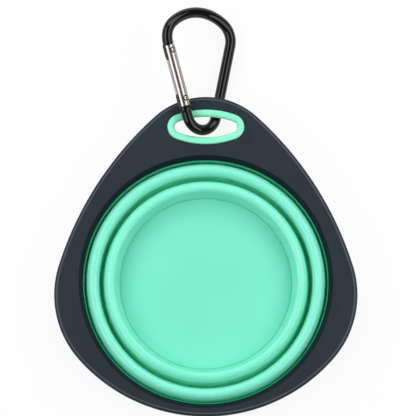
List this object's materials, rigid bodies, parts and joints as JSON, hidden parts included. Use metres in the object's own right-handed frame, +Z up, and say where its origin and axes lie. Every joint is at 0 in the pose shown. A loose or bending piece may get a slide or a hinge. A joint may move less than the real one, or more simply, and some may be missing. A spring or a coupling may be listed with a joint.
{
  "type": "collapsible bowl",
  "caption": "Collapsible travel bowl: a rounded triangular rim plate, a rubber bowl that folds flat into it, and a lined slot that holds a carabiner with a sprung gate.",
  "frame": {"origin": "centre of the foot ring's underside, on the bowl's axis, with the bowl folded flat", "axes": "+Z up out of the bowl, +Y towards the tip of the rim plate and its carabiner, +X to the side"},
  "size_m": [0.14, 0.1905, 0.0242],
  "materials": {
    "plate": "dark slate, fine satin",
    "bowl_rubber": "mint, soft satin",
    "liner_rubber": "mint, soft satin",
    "black_bar": "glossy black anodised",
    "gate_steel": "polished",
    "rivet_steel": "bright steel",
    "spring_steel": "drawn wire"
  },
  "bodies": {
    "cup": {"inner_band": "bowl_rubber", "bowl_floor": "bowl_rubber", "lower_fold": "bowl_rubber"},
    "outer_ring": {"outer_band": "bowl_rubber", "upper_fold": "bowl_rubber"},
    "frame": {"rim_plate": "plate", "rim_lip": "bowl_rubber", "slot_liner": "liner_rubber"},
    "carabiner": {"carabiner_body": "black_bar"},
    "gate": {"gate_tube": "gate_steel", "hinge_rivet": "rivet_steel", "latch_rivet": "rivet_steel", "gate_spring": "spring_steel", "spring_plunger": "spring_steel"}
  },
  "joints": [
    {"name": "outer_ring_rise", "type": "slide", "parent": "cup", "child": "outer_ring", "axis": [0, 0, 1], "range_m": [0, 0.017], "deforming": ["lower_fold"]},
    {"name": "frame_rise", "type": "slide", "parent": "outer_ring", "child": "frame", "axis": [0, 0, 1], "range_m": [0, 0.017], "deforming": ["upper_fold"]},
    {"name": "carabiner_twist", "type": "hinge", "parent": "frame", "child": "carabiner", "pos_m": [-0.002, 0.0786, 0.0122], "axis": [-0.0349, 0.9994, 0], "range_deg": [0, 114]},
    {"name": "gate_hinge", "type": "hinge", "parent": "carabiner", "child": "gate", "pos_m": [-0.01064, 0.08461, 0.01767], "axis": [-0.5443, -0.019, -0.8387], "range_deg": [0, 28], "stiffness_Nm_per_rad": 0.05, "springref_deg": -22.92}
  ]
}
